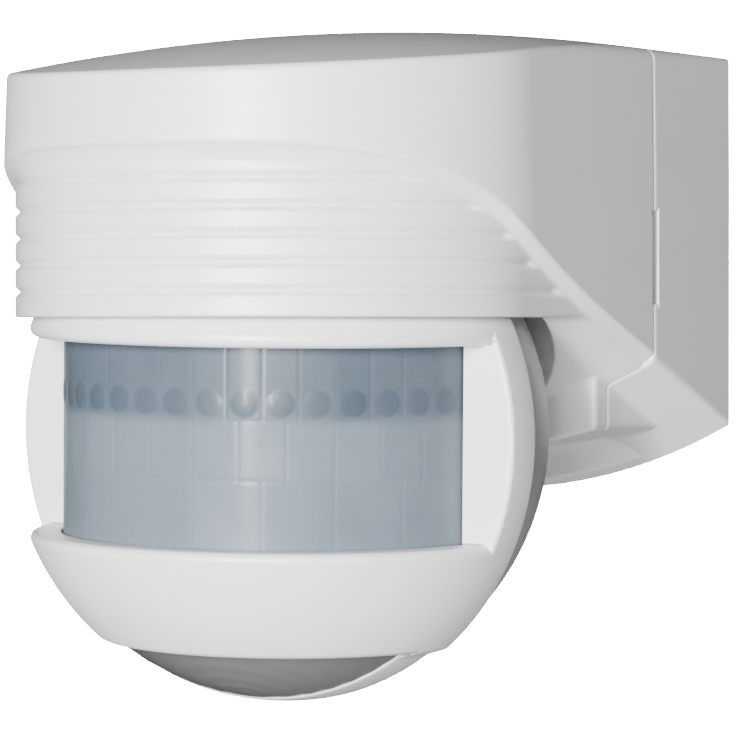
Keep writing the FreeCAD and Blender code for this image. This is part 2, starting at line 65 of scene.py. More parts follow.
# Hood and base. Their frame has its origin on the ball's axis, level with the hood's lower edge.
SEAM = 35.1                            # where the hood meets the base
SEAM_GAP = 0.04                        # half the gap there
BODY = 38.9                            # half the width, and the radius of the round front
RIB = 37.3                             # the ribbed skirt's radius
HOOD_WALL = 2.0
BASE_WALL = 2.6
BASE_BACK = 2.4                        # the plate against the wall
DOME_TOP = 40.75
DOME_ACROSS = 240.0                    # the roof's bow from side to side, and from front to back
DOME_ALONG = 312.0
DRAFT_TOP, DRAFT_LEAST = 0.04, 0.005   # lean of the sides at the front and at the wall
DRAFT_LOSS = 0.00035                   # how much of it each millimetre back takes away
DRAFT_FRONT, DRAFT_FROM = -39.0, 20.0  # where it starts, along the body and in height
KEEL_R = 86.5                          # the rounded underside that slopes down to the wall
KEEL_SLOPE = math.radians(21.5)
KEEL_LOW = 25.5
SWEEP_TOP = 22.4                       # the swept edge between body and skirt
SWEEP_BOW = 67.5
SWEEP_DIP = 181.0
SWEEP_TURN = math.radians(31.0)
GROOVES = [3.45 + 3.67 * k for k in range(5)]
GROOVE = 0.7                           # a groove's depth, and half its height
BLOCK_HALF = 31.5                      # the blunt block across the seam, under the keel
BLOCK_FRONT, BLOCK_BACK = 31.5, 50.5
BLOCK_TOP, BLOCK_LOW = -8.0, -19.9
BLOCK_ARC = 122.0
BLOCK_WALL = 2.0
SLOT_DEEP, SLOT_SHIFT = 3.0, 0.5       # the release slots: depth, and how far behind the seam
SLOT_HALF, SLOT_TALL, SLOT_Z = 1.05, 6.6, 8.5
STEM_BOSS, STEM_BORE = 10.0, 6.05      # radii of the boss round the stem and of its bore
BOSS_LOW, BOSS_TOP = 21.0, 27.1
POST_X, POST_Z, POST_R = 32.4, 24.0, 3.0    # the posts that the power board is screwed to
POST_FRONT, POST_BACK = 21.0, 29.0
PAD_X, PAD_HALF, PAD_FRONT = 35.02, 0.32, 28.0    # the pads behind the cover clips
PAD_Z, PAD_TALL = 5.2, 3.3
PILOT = 1.4                            # radius of a hole for a thread
RECESS_HALF, RECESS_TOP = 26.3, -16.4  # the cable recess in the keel
RECESS_MID, RECESS_LONG = 50.3, 6.3    # its middle and half its length, front to back
RECESS_WALL = 2.0
WALL_SCREW_X, WALL_SCREW_Z, WALL_SCREW_R = 25.0, 18.0, 2.3
SINK_FROM = 58.2                       # where a wall-screw hole starts to open towards the inside
THROUGH = 55.6                         # the holes in the back run from here
REAR_Z, REAR_R = 20.0, 9.0             # the hole for the rear grommet
LOWER_R = 4.6                          # the hole for the lower grommet

# The socket and the ball-shaped head.
POCKET = 38.8                          # the socket under the hood
POCKET_WALL = 1.8
POCKET_ROOM = 0.35                     # the base stays this clear of the socket
SHELL = 36.2                           # the ball, outside and inside
SHELL_IN = 34.2
FRONT = 38.2                           # the proud parts of the front shell
LENS_R = 30.7


# ---------------------------------------------------------------- solids from distance fields
def rmax(a, b, r):
    """Intersection of two fields with its edge rounded to radius r."""
    return np.minimum(-r, np.maximum(a, b)) + np.hypot(np.maximum(a + r, 0), np.maximum(b + r, 0))


def rmin(a, b, r):
    """Union of two fields with a fillet of radius r."""
    return -rmax(-a, -b, r)


def most(*fields):
    """Intersection of fields with sharp edges."""
    out = fields[0]
    for field in fields[1:]:
        out = np.maximum(out, field)
    return out


def least(*fields):
    """Union of fields with sharp corners."""
    out = fields[0]
    for field in fields[1:]:
        out = np.minimum(out, field)
    return out


def smooth(t):
    """Eases from 0 to 1 as t does."""
    t = np.clip(t, 0, 1)
    return t * t * (3 - 2 * t)


def slope_of(field, points, eps=0.02):
    """The field's gradient at each point."""
    grad = np.empty_like(points)
    for axis in range(3):
        step = np.zeros(3)
        step[axis] = eps
        grad[:, axis] = (field(*(points + step).T) - field(*(points - step).T)) / (2 * eps)
    return grad


def sharpen(field, middle, crossings, step):
    """Shifts each cell's vertex to where the tangent planes at the cell's crossings meet."""
    square = np.zeros((len(middle), 3, 3)) + np.eye(3) * 0.05
    right = np.zeros_like(middle)
    for index, spots in crossings:
        facing = slope_of(field, spots)
        facing /= np.maximum(np.linalg.norm(facing, axis=1, keepdims=True), 1e-6)
        offset = ((spots - middle[index]) * facing).sum(1)
        square[index] += facing[:, :, None] * facing[:, None, :]
        right[index] += facing * offset[:, None]
    move = np.linalg.solve(square, right[:, :, None])[:, :, 0]
    return middle + np.clip(move, -0.9 * step, 0.9 * step)


def surface_net(field, low, high, step):
    """Vertices and quads where the field changes sign on a regular grid."""
    low, high, step = (np.array(v, float) for v in (low, high, step))
    count = np.ceil((high - low) / step).astype(int) + 1
    axes = [low[i] + step[i] * np.arange(count[i]) for i in range(3)]
    values = np.empty(count, np.float32)
    slab = 16
    for i in range(0, count[0], slab):
        gx, gy, gz = np.meshgrid(axes[0][i:i + slab], axes[1], axes[2], indexing="ij")
        values[i:i + slab] = field(gx, gy, gz)
    inside = values < 0
    cells = count - 1
    total = np.zeros(cells, np.uint8)
    for dx in (0, 1):
        for dy in (0, 1):
            for dz in (0, 1):
                total += inside[dx:dx + cells[0], dy:dy + cells[1], dz:dz + cells[2]]
    active = (total > 0) & (total < 8)
    number = np.full(cells, -1, np.int64)
    where = np.argwhere(active)
    number[active] = np.arange(len(where))
    sums = np.zeros((len(where), 3))
    hits = np.zeros(len(where))
    crossings = []
    for axis in range(3):
        others = [k for k in range(3) if k != axis]
        for a in (0, 1):
            for b in (0, 1):
                start = where.copy()
                start[:, others[0]] += a
                start[:, others[1]] += b
                end = start.copy()
                end[:, axis] += 1
                v0 = values[tuple(start.T)].astype(float)
                v1 = values[tuple(end.T)].astype(float)
                cross = (v0 < 0) != (v1 < 0)
                part = np.where(cross, v0 / np.where(cross, v0 - v1, 1), 0)
                spot = start.astype(float)
                spot[:, axis] += part
                sums[cross] += spot[cross]
                hits[cross] += 1
                crossings.append((np.flatnonzero(cross), low + step * spot[cross]))
    verts = sharpen(field, low + step * (sums / hits[:, None]), crossings, step)
    quads = []
    for axis in range(3):
        u, v = (axis + 1) % 3, (axis + 2) % 3
        before = [slice(None)] * 3
        after = [slice(None)] * 3
        before[axis] = slice(0, -1)
        after[axis] = slice(1, None)
        near = inside[tuple(before)]
        spots = np.argwhere(near != inside[tuple(after)])
        keep = (spots[:, u] > 0) & (spots[:, v] > 0) & (spots[:, u] < cells[u]) & (spots[:, v] < cells[v])
        spots = spots[keep]
        flip = near[tuple(spots.T)]
        corner = []
        for du, dv in ((-1, -1), (0, -1), (0, 0), (-1, 0)):
            c = spots.copy()
            c[:, u] += du
            c[:, v] += dv
            corner.append(number[tuple(c.T)])
        quad = np.stack(corner, 1)
        quad[~flip] = quad[~flip][:, ::-1]
        quads.append(quad)
    return verts, np.concatenate(quads)


def settle(field, verts, reach):
    """Moves vertices onto the field's exact surface."""
    out = verts.copy()
    for _ in range(4):
        grad = slope_of(field, out)
        size = np.maximum((grad ** 2).sum(1), 0.05)
        move = -grad * (field(*out.T) / size)[:, None]
        long = np.linalg.norm(move, axis=1, keepdims=True)
        out += move * np.minimum(1, reach / np.maximum(long, 1e-9))
    return out


def add_mesh(name, verts, faces):
    mesh = bpy.data.meshes.new(name)
    mesh.vertices.add(len(verts))
    mesh.vertices.foreach_set("co", np.asarray(verts, np.float32).ravel())
    mesh.loops.add(faces.size)
    mesh.loops.foreach_set("vertex_index", faces.astype(np.int32).ravel())
    mesh.polygons.add(len(faces))
    mesh.polygons.foreach_set("loop_start", np.arange(0, faces.size, faces.shape[1], dtype=np.int32))
    mesh.polygons.foreach_set("loop_total", np.full(len(faces), faces.shape[1], np.int32))
    mesh.update(calc_edges=True)
    mesh.validate()
    mesh.shade_smooth()
    piece = bpy.data.objects.new(name, mesh)
    bpy.context.scene.collection.objects.link(piece)
    return piece


def turn_matrix(frame_name):
    if frame_name == "head":
        return np.array(Euler([math.radians(v) for v in HEAD_TURN], "XYZ").to_matrix())
    return np.eye(3)


def origin_of(frame_name):
    if frame_name == "head":
        return np.array(BALL)
    return np.array((0.0, BALL.y, SKIRT))


def place(points, frame_name):
    """From millimetres in the hood's or the head's frame to metres in the row frame."""
    return (points @ turn_matrix(frame_name).T + origin_of(frame_name)) / 1000


def solid(name, field, low, high, step, frame_name, share=1.0):
    """A closed mesh of a distance field, thinned to a share of its faces, with the field's own normals."""
    verts, quads = surface_net(field, low, high, step)
    verts = settle(field, verts, min(step))
    piece = add_mesh(name, verts, quads)
    if share < 1:
        thin = piece.modifiers.new("thin", "DECIMATE")
        thin.ratio = share
        graph = bpy.context.evaluated_depsgraph_get()
        mesh = bpy.data.meshes.new_from_object(piece.evaluated_get(graph))
        piece.modifiers.clear()
        piece.data = mesh
    mesh = piece.data
    count = len(mesh.vertices)
    verts = np.empty(count * 3, np.float32)
    mesh.vertices.foreach_get("co", verts)
    verts = verts.reshape(-1, 3).astype(float)
    grad = slope_of(field, verts)
    grad /= np.maximum(np.linalg.norm(grad, axis=1, keepdims=True), 1e-6)
    mesh.vertices.foreach_set("co", place(verts, frame_name).astype(np.float32).ravel())
    mesh.update()
    mesh.shade_smooth()
    mesh.normals_split_custom_set_from_vertices((grad @ turn_matrix(frame_name).T).astype(np.float32))
    return piece


# ---------------------------------------------------------------- hood and base, hood frame
def sweep_z(y):
    """Height of the swept edge: a bow, a dip, then the keel's own slope."""
    t = np.clip(y + BODY, 0, SWEEP_BOW * math.sin(SWEEP_TURN))
    z = SWEEP_TOP - (SWEEP_BOW - np.sqrt(SWEEP_BOW ** 2 - t ** 2))
    y1 = SWEEP_BOW * math.sin(SWEEP_TURN) - BODY
    run = SWEEP_DIP * (math.sin(SWEEP_TURN) - math.sin(KEEL_SLOPE))
    t = np.clip(y - y1, 0, run)
    z = z - (np.sqrt(SWEEP_DIP ** 2 - (SWEEP_DIP * math.sin(SWEEP_TURN) - t) ** 2)
             - SWEEP_DIP * math.cos(SWEEP_TURN))
    return z - np.maximum(y - y1 - run, 0) * math.tan(KEEL_SLOPE)


def keel_field(x, y, z):
    """The rounded underside, a cylinder that slopes down to the wall."""
    middle = KEEL_R / math.cos(KEEL_SLOPE) - KEEL_LOW + (TO_WALL - y) * math.tan(KEEL_SLOPE)
    return np.hypot(x, (z - middle) * math.cos(KEEL_SLOPE)) - KEEL_R


def roof_field(x, y, z):
    """The vaulted roof, level along its middle behind the seam."""
    rise = x * x / (2 * DOME_ACROSS) + np.minimum(y - SEAM, 0) ** 2 / (2 * DOME_ALONG)
    steepness = 0.985
    return (z - DOME_TOP + rise) * steepness


def draft(y, z):
    """How far the sides lean in towards the top."""
    lean = np.clip(DRAFT_TOP - DRAFT_LOSS * (y - DRAFT_FRONT), DRAFT_LEAST, DRAFT_TOP)
    return lean * np.maximum(z - DRAFT_FROM, 0)


def from_ball(x, y, z):
    return np.sqrt(x * x + y * y + (z + BALL_DROP) ** 2)


def block_arc(x, z):
    """The block's bowed underside."""
    return np.hypot(x, z - BLOCK_LOW - BLOCK_ARC) - BLOCK_ARC


def block_field(x, y, z, front, back):
    box = rmax(np.abs(x) - BLOCK_HALF, most(front - y, y - back), 0.8)
    return most(rmax(box, block_arc(x, z), 0.7), z - BLOCK_TOP)


def slot_field(x, y, z):
    """The release slots: a deep slit just behind the seam, one in each side."""
    return most(BODY - SLOT_DEEP - np.abs(x), np.abs(y - SEAM - SLOT_SHIFT) - SLOT_HALF,
                np.abs(z - SLOT_Z) - SLOT_TALL)


def skirt_radius(y, z):
    """The hood's outer radius: full above the swept edge, then a crisp step, a slope and the grooves."""
    under = (sweep_z(y) - z) * 0.92
    back = smooth((y + 34) / 34)
    step = 0.35 * (1 - back)
    radius = BODY - draft(y, z) - step * smooth((under + 0.3) / 0.7)
    radius = radius - (BODY - RIB - step) * smooth((under + 0.9 - 0.5 * back) / (3.2 - 1.5 * back))
    below = smooth((under - 1.4 + 0.2 * back) / 0.7)
    for level in GROOVES:
        radius = radius - GROOVE * below * np.maximum(0, 1 - np.abs(z - level) / GROOVE)
    return radius


def hood_inside(x, y, z):
    """What stands inside the hood: the stem's boss, the board's posts and the clips' pads."""
    boss = most(np.hypot(x, y) - STEM_BOSS, z - BOSS_TOP, BOSS_LOW - z)
    post = most(np.hypot(np.abs(x) - POST_X, z - POST_Z) - POST_R, y - POST_BACK, POST_FRONT - y)
    pad = most(np.abs(np.abs(x) - PAD_X) - PAD_HALF, PAD_FRONT - y, y - SEAM, np.abs(z - PAD_Z) - PAD_TALL)
    return least(boss, post, pad)


def hood_field(x, y, z):
    across = np.hypot(x, np.minimum(y, 0))
    along = np.where(y < 0, y * BODY / np.maximum(across, 1e-6), y)
    side = across - skirt_radius(along, z)
    dome = roof_field(x, y, z)
    out = rmax(side, dome, 0.7 + 0.7 * smooth((y + 10) / 45))
    keel = keel_field(x, y, z)
    out = rmax(out, rmin(-z, keel, 0.6), 0.35 + 0.45 * smooth((y - 4) / 18))
    out = rmin(out, block_field(x, y, z, BLOCK_FRONT, SEAM + 5), 0.5)
    out = rmax(out, y - SEAM + SEAM_GAP, 0.35)
    ball = from_ball(x, y, z)
    socket = POCKET + POCKET_WALL
    out = least(out, most(ball - socket, BLOCK_FRONT + 0.5 - y, z, block_arc(x, z) + 0.1))
    floor_or_keel = least(HOOD_WALL - z, keel + HOOD_WALL)
    hollow = most(across - RIB + HOOD_WALL, dome + HOOD_WALL, floor_or_keel, socket - ball)
    out = least(np.maximum(out, -hollow), hood_inside(x, y, z))
    out = rmax(out, POCKET - ball, 0.25)
    bore = most(np.hypot(x, y) - STEM_BORE, z - BOSS_TOP - 1)
    screw = most(np.hypot(np.abs(x) - POST_X, z - POST_Z) - PILOT, POST_FRONT + 1 - y)
    return most(out, -bore, -screw, -slot_field(x, y, z))


def base_holes(x, y, z):
    """The four wall-screw holes, opening inwards, the rear cable entry and the one in the recess."""
    from_screw = np.hypot(np.abs(x) - WALL_SCREW_X, np.abs(z + SKIRT) - WALL_SCREW_Z) - WALL_SCREW_R
    screws = from_screw - np.maximum(SINK_FROM - y, 0)
    rear = np.hypot(x, z - REAR_Z) - REAR_R
    lower = most(np.hypot(x, y - RECESS_MID) - LOWER_R, RECESS_TOP - 1 - z, z - RECESS_TOP - 3)
    return least(most(least(screws, rear), THROUGH - y), lower)


def base_field(x, y, z):
    side = np.abs(x) - BODY + draft(y, z)
    crown = roof_field(x, y, z)
    keel = keel_field(x, y, z)
    fade = smooth((TO_WALL - y) / (TO_WALL - SEAM))
    out = rmax(rmax(side, crown, 0.5 + 0.9 * fade), keel, 0.45 + 0.35 * fade)
    out = rmin(out, block_field(x, y, z, SEAM - 5, BLOCK_BACK), 0.5)
    out = rmax(out, SEAM + SEAM_GAP - y, 0.45)
    out = rmax(out, y - TO_WALL, 0.3)
    room = most(np.abs(x) - BODY + BASE_WALL, crown + BASE_WALL, keel + BASE_WALL)
    block_room = most(np.abs(x) - BLOCK_HALF + BLOCK_WALL, block_arc(x, z) + BLOCK_WALL, z - BLOCK_TOP,
                      y - BLOCK_BACK + BLOCK_WALL)
    hollow = most(least(room, block_room), y - TO_WALL + BASE_BACK)
    around_recess = most(np.abs(x) - RECESS_HALF - RECESS_WALL, RECESS_MID - RECESS_LONG - RECESS_WALL - y,
                         z - RECESS_TOP - RECESS_WALL)
    out = most(out, -np.maximum(hollow, -around_recess))
    recess = rmax(np.abs(x) - RECESS_HALF, np.abs(y - RECESS_MID) - RECESS_LONG, 1.5)
    out = rmax(out, -rmax(recess, z - RECESS_TOP, 4.5), 0.3)
    out = np.maximum(out, POCKET + POCKET_WALL + POCKET_ROOM - from_ball(x, y, z))
    return most(out, -base_holes(x, y, z), -slot_field(x, y, z))


# ---------------------------------------------------------------- head shells, head frame
BROW_TOP, BROW_LOW = 17.5, 13.0        # the brow over the lens
LIP = -13.65                           # the top of the bowl under it
CHEEK = -7.5                           # the front faces of the cheeks beside it
CREEP_TOP, CREEP_BACK = -28.6, -8.5    # the opening at the foot, for the creep-zone lens
HOLD = 5.4                             # how far in front of the ball's middle the lens is held
LENS_ROOM = 15.5                       # half the height of the room for the strip lens
JOINT_X, JOINT_Z = 29.0, 10.0          # the two screws that join the shells
JOINT_BOSS, JOINT_HEAD = 3.4, 2.7
JOINT_SEAT, JOINT_BACK = 11.5, 21.0
SHELL_GAP = 0.05
DIAL_X, DIAL_Z = 10.0, -13.0           # the two setting dials
DIAL_WELL, DIAL_WALL, DIAL_SHAFT = 5.2, 1.3, 1.55    # the well round each, and its shaft hole
WELL_FRONT, WELL_FLOOR = 25.0, 26.5
STEM_HALF, STEM_LONG, STEM_MID = 7.4, 18.7, 5.5    # the slot that the stem passes through


def ball_radius(x, y, z):
    return np.sqrt(x * x + y * y + z * z)


def from_joint(x, z):
    return np.hypot(np.abs(x) - JOINT_X, z - JOINT_Z)


def stem_slot(x, y, z):
    outline = rmax(np.abs(x) - STEM_HALF, np.abs(y - STEM_MID) - STEM_LONG, 3.0)
    return rmax(outline, 18 - z, 0.2)


def front_field(x, y, z):
    ball = ball_radius(x, y, z)
    thinner = 1.1 * smooth((-28.4 - z) / 1.2)
    proud = rmax(rmax(ball - FRONT + thinner, y, 2.0), z - BROW_TOP, 1.5)
    brow = rmax(proud, BROW_LOW - z, 1.9)
    bowl = rmax(proud, z - LIP, 1.5)
    cheek = rmax(proud, CHEEK - y, 0.5)
    kept = least(brow, bowl, cheek, most(ball - SHELL, y, BROW_LOW + 2 - z))
    above = most(BROW_LOW - z, z - BROW_LOW - 2)
    below = most(-z - 15.4, z + 13.7)
    rims = most(least(above, below, np.abs(y + 6.5) - 1), y + 5.5)
    kept = np.maximum(kept, -np.maximum(ball - SHELL_IN, -rims))
    barrel = most(np.hypot(x, y) - LENS_R - 0.25, np.abs(z) - LENS_ROOM, y + HOLD)
    kept = rmax(kept, -barrel, 0.2)
    kept = least(rmax(kept, CREEP_TOP - z, 0.6), rmax(kept, CREEP_BACK - y, 0.5))
    boss = most(from_joint(x, z) - JOINT_BOSS, -y - HOLD, y, ball - SHELL)
    kept = np.minimum(kept, boss)
    screw = most(from_joint(x, z) - PILOT, -y - HOLD)
    return most(rmax(kept, -stem_slot(x, y, z), 0.3), -screw)


def rear_field(x, y, z):
    ball = ball_radius(x, y, z)
    skin = rmax(ball - SHELL, SHELL_GAP - y, 0.35)
    skin = np.maximum(skin, SHELL_IN - ball)
    screw = from_joint(x, z)
    boss = most(screw - JOINT_BOSS, SHELL_GAP - y, y - JOINT_BACK)
    dial = np.hypot(np.abs(x) - DIAL_X, z - DIAL_Z)
    well = most(dial - DIAL_WELL - DIAL_WALL, WELL_FRONT - y)
    out = np.minimum(skin, np.maximum(np.minimum(boss, well), ball - SHELL))
    out = rmax(out, -most(dial - DIAL_WELL, WELL_FLOOR - y), 0.3)
    out = np.maximum(out, DIAL_SHAFT - dial)
    out = most(rmax(out, -stem_slot(x, y, z), 0.3), PILOT - screw)
    return rmax(out, -most(screw - JOINT_HEAD, JOINT_SEAT - y), 0.8)


# ---------------------------------------------------------------- lenses, head frame
ROW_SPLIT = (3.3, -4.6)                # heights at which the lens changes row
ROW_MIDDLE = (5.6, -0.4, -9.5)         # heights of the Fresnel rings' centres, by row
PITCH = (9.0, 12.0, 18.0)              # degrees each lens of a row takes
PHASE = 3.0                            # where the rows start, degrees
LENS_TALL = 14.4                       # half the strip lens's height
LENS_THICK = 0.9
BEAD_R = 1.9                           # the round lenses of the upper row
CREEP_R, CREEP_R_IN = 36.9, 35.7       # the creep-zone lens, outside and inside


def band_mesh(name, outer, inner, across, up):
    """A closed skin between an outer and an inner surface, both given over the same two directions."""
    rows, cols = len(up), len(across)
    a, u = np.meshgrid(across, up)
    verts = np.concatenate([outer(a, u).reshape(-1, 3), inner(a, u).reshape(-1, 3)])
    index = np.arange(rows * cols).reshape(rows, cols)
    back = index + rows * cols
    faces = [np.stack([index[:-1, :-1], index[:-1, 1:], index[1:, 1:], index[1:, :-1]], -1).reshape(-1, 4),
             np.stack([back[:-1, :-1], back[1:, :-1], back[1:, 1:], back[:-1, 1:]], -1).reshape(-1, 4)]
    for front_edge, back_edge in ((index[0], back[0]), (index[-1][::-1], back[-1][::-1]),
                                  (index[:, 0][::-1], back[:, 0][::-1]), (index[:, -1], back[:, -1])):
        faces.append(np.stack([front_edge[:-1], back_edge[:-1], back_edge[1:], front_edge[1:]], -1))
    piece = add_mesh(name, place(verts, "head"), np.concatenate(faces))
    piece.data.set_sharp_from_angle(angle=math.radians(50))
    return piece


def from_border(angle, pitch):
    """Distance round the lens from the nearest border between columns of that pitch."""
    return ((angle - PHASE + pitch / 2) % pitch - pitch / 2) * math.radians(1) * LENS_R


def lens_relief(angle, z):
    """Depth of the moulded lines between the lenses, less the height of the small round ones."""
    deep = np.zeros_like(angle)
    bounds = (99.0,) + ROW_SPLIT + (-99.0,)
    for row, pitch in enumerate(PITCH):
        here = (z < bounds[row]) & (z >= bounds[row + 1])
        deep += here * 0.05 * np.exp(-(from_border(angle, pitch) / 0.2) ** 2)
    for split in ROW_SPLIT:
        deep += 0.03 * np.exp(-((z - split) / 0.25) ** 2)
    middle = from_border(angle - PITCH[0] / 2, PITCH[0])
    bead = np.clip(1 - (middle ** 2 + (z - ROW_MIDDLE[0]) ** 2) / BEAD_R ** 2, 0, 1)
    return deep - 0.14 * bead


def strip_lens():
    def drum(radius, angle, height):
        t = np.radians(angle)
        return np.stack([radius * np.sin(t), -radius * np.cos(t), height], -1)

    def outer(angle, height):
        return drum(LENS_R - lens_relief(angle, height), angle, height)

    def inner(angle, height):
        return drum(LENS_R - LENS_THICK, angle, height)

    edge = math.degrees(math.acos((HOLD + 0.2) / LENS_R))
    piece = band_mesh("strip_lens", outer, inner, np.linspace(-edge, edge, 421),
                      np.linspace(-LENS_TALL, LENS_TALL, 145))
    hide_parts("fresnel_lens")
    return piece


def creep_lens():
    """The bowl-shaped lens at the ball's underside, which looks straight down."""
    top, back = CREEP_TOP - 0.05, CREEP_BACK - 0.05

    def skin(radius, ring_height):
        def spot(x, u):
            """A point at x, with u from 0 at the opening's back edge to 1 at its front rim."""
            rim = np.sqrt(np.maximum(radius ** 2 - top ** 2 - x ** 2, back ** 2))
            y = back + (-rim - back) * u
            z = -np.sqrt(np.maximum(radius ** 2 - x ** 2 - y ** 2, 1))
            ring = np.hypot(x, y + 12)
            lift = ring_height * (1 - np.abs((ring / 3.0) % 1 - 0.5) * 2)
            k = (radius - lift) / radius
            return np.stack([x * k, y * k, z * k], -1)
        return spot

    half = math.sqrt(CREEP_R ** 2 - top ** 2 - back ** 2) - 0.02
    across = half * np.sin(np.linspace(-math.pi / 2, math.pi / 2, 161))
    piece = band_mesh("creep_lens", skin(CREEP_R, 0.06), skin(CREEP_R_IN, 0), across[::-1],
                      np.linspace(0, 1, 61))
    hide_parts("creep_zone_lens")
    return piece


# ---------------------------------------------------------------- materials
def material(name, color, rough, **sockets):
    """A plain Principled material; sockets such as coat_weight are set by name."""
    mat = bpy.data.materials.new(name)
    mat.use_nodes = True
    shader = mat.node_tree.nodes["Principled BSDF"]
    shader.inputs["Base Color"].default_value = (*color, 1)
    shader.inputs["Roughness"].default_value = rough
    for key, value in sockets.items():
        shader.inputs[key.replace("_", " ").title().replace("Ior", "IOR")].default_value = value
    return mat, mat.node_tree, shader


def node(tree, kind, inputs=None, **fields):
    """A shader node, its inputs linked or set, its fields set."""
    item = tree.nodes.new(kind)
    for key, value in fields.items():
        setattr(item, key, value)
    for key, value in (inputs or {}).items():
        if isinstance(value, bpy.types.NodeSocket):
            tree.links.new(value, item.inputs[key])
        else:
            item.inputs[key].default_value = value
    return item


def maths(tree, operation, a, b=0.0, c=0.0):
    return node(tree, "ShaderNodeMath", {0: a, 1: b, 2: c}, operation=operation).outputs[0]


def ease(tree, value, low, high, first, last):
    """Goes smoothly from first to last while the value goes from low to high."""
    return node(tree, "ShaderNodeMapRange",
                {"Value": value, "From Min": low, "From Max": high, "To Min": first, "To Max": last},
                interpolation_type="SMOOTHSTEP").outputs[0]


def noise(tree, scale, detail=3.0, rough=0.5):
    where = node(tree, "ShaderNodeTexCoord").outputs["Object"]
    return node(tree, "ShaderNodeTexNoise",
                {"Vector": where, "Scale": scale, "Detail": detail, "Roughness": rough}).outputs["Fac"]


def ramp(tree, fac, low, high, place=(0.3, 0.7)):
    item = node(tree, "ShaderNodeValToRGB", {"Fac": fac})
    item.color_ramp.elements[0].color = (*low, 1)
    item.color_ramp.elements[1].color = (*high, 1)
    item.color_ramp.elements[0].position, item.color_ramp.elements[1].position = place
    return item.outputs["Color"]


def tone(color, factor):
    return tuple(min(1.0, c * factor) for c in color)


def moulded(name, color, rough, grain=1900, relief=0.096, vary=0.03, **sockets):
    """Moulded plastic: a fine spark-eroded grain, slow colour and gloss drift."""
    mat, tree, shader = material(name, color, rough, **sockets)
    drift = noise(tree, 60, 4)
    shade = ramp(tree, drift, tone(color, 1 - vary), tone(color, 1 + vary))
    tree.links.new(shade, shader.inputs["Base Color"])
    fine = noise(tree, grain, 2, 0.6)
    gloss = node(tree, "ShaderNodeMapRange", {"Value": noise(tree, 140, 3), "From Min": 0.3, "From Max": 0.7,
                                              "To Min": rough - 0.03, "To Max": rough + 0.04}).outputs[0]
    tree.links.new(gloss, shader.inputs["Roughness"])
    bump = node(tree, "ShaderNodeBump", {"Height": fine, "Strength": relief, "Distance": 0.00008})
    tree.links.new(bump.outputs["Normal"], shader.inputs["Normal"])
    return mat


def metal(name, color, rough, brushed=900):
    """Metal with fine drawn lines."""
    mat, tree, shader = material(name, color, rough, metallic=1.0)
    where = node(tree, "ShaderNodeTexCoord").outputs["Object"]
    long = node(tree, "ShaderNodeMapping", {"Vector": where, "Scale": (1, 0.08, 1)}).outputs[0]
    lines = node(tree, "ShaderNodeTexNoise", {"Vector": long, "Scale": brushed, "Detail": 3.0}).outputs["Fac"]
    tree.links.new(ramp(tree, lines, tone(color, 0.88), tone(color, 1.08)), shader.inputs["Base Color"])
    bump = node(tree, "ShaderNodeBump", {"Height": lines, "Strength": 0.25, "Distance": 0.00005})
    tree.links.new(bump.outputs["Normal"], shader.inputs["Normal"])
    return mat


def circuit_board(name):
    """Solder mask over copper tracks, with small tinned pads."""
    green, track, tin = (0.012, 0.10, 0.045), (0.03, 0.19, 0.08), (0.55, 0.55, 0.56)
    mat, tree, shader = material(name, green, 0.3, coat_weight=0.4)
    where = node(tree, "ShaderNodeTexCoord").outputs["Object"]
    grid = node(tree, "ShaderNodeTexVoronoi", {"Vector": where, "Scale": 210.0},
                distance="CHEBYCHEV").outputs[0]
    tracks = node(tree, "ShaderNodeTexBrick", {"Vector": where, "Scale": 130.0, "Mortar Size": 0.09})
    mask = maths(tree, "GREATER_THAN", tracks.outputs["Fac"], 0.5)
    mix = node(tree, "ShaderNodeMix", {0: mask, 6: (*green, 1), 7: (*track, 1)}, data_type="RGBA")
    pads = maths(tree, "LESS_THAN", grid, 0.11)
    paint = node(tree, "ShaderNodeMix", {0: pads, 6: mix.outputs[2], 7: (*tin, 1)}, data_type="RGBA")
    tree.links.new(paint.outputs[2], shader.inputs["Base Color"])
    bump = node(tree, "ShaderNodeBump", {"Height": mask, "Strength": 0.4, "Distance": 0.00006})
    tree.links.new(bump.outputs["Normal"], shader.inputs["Normal"])
    return mat


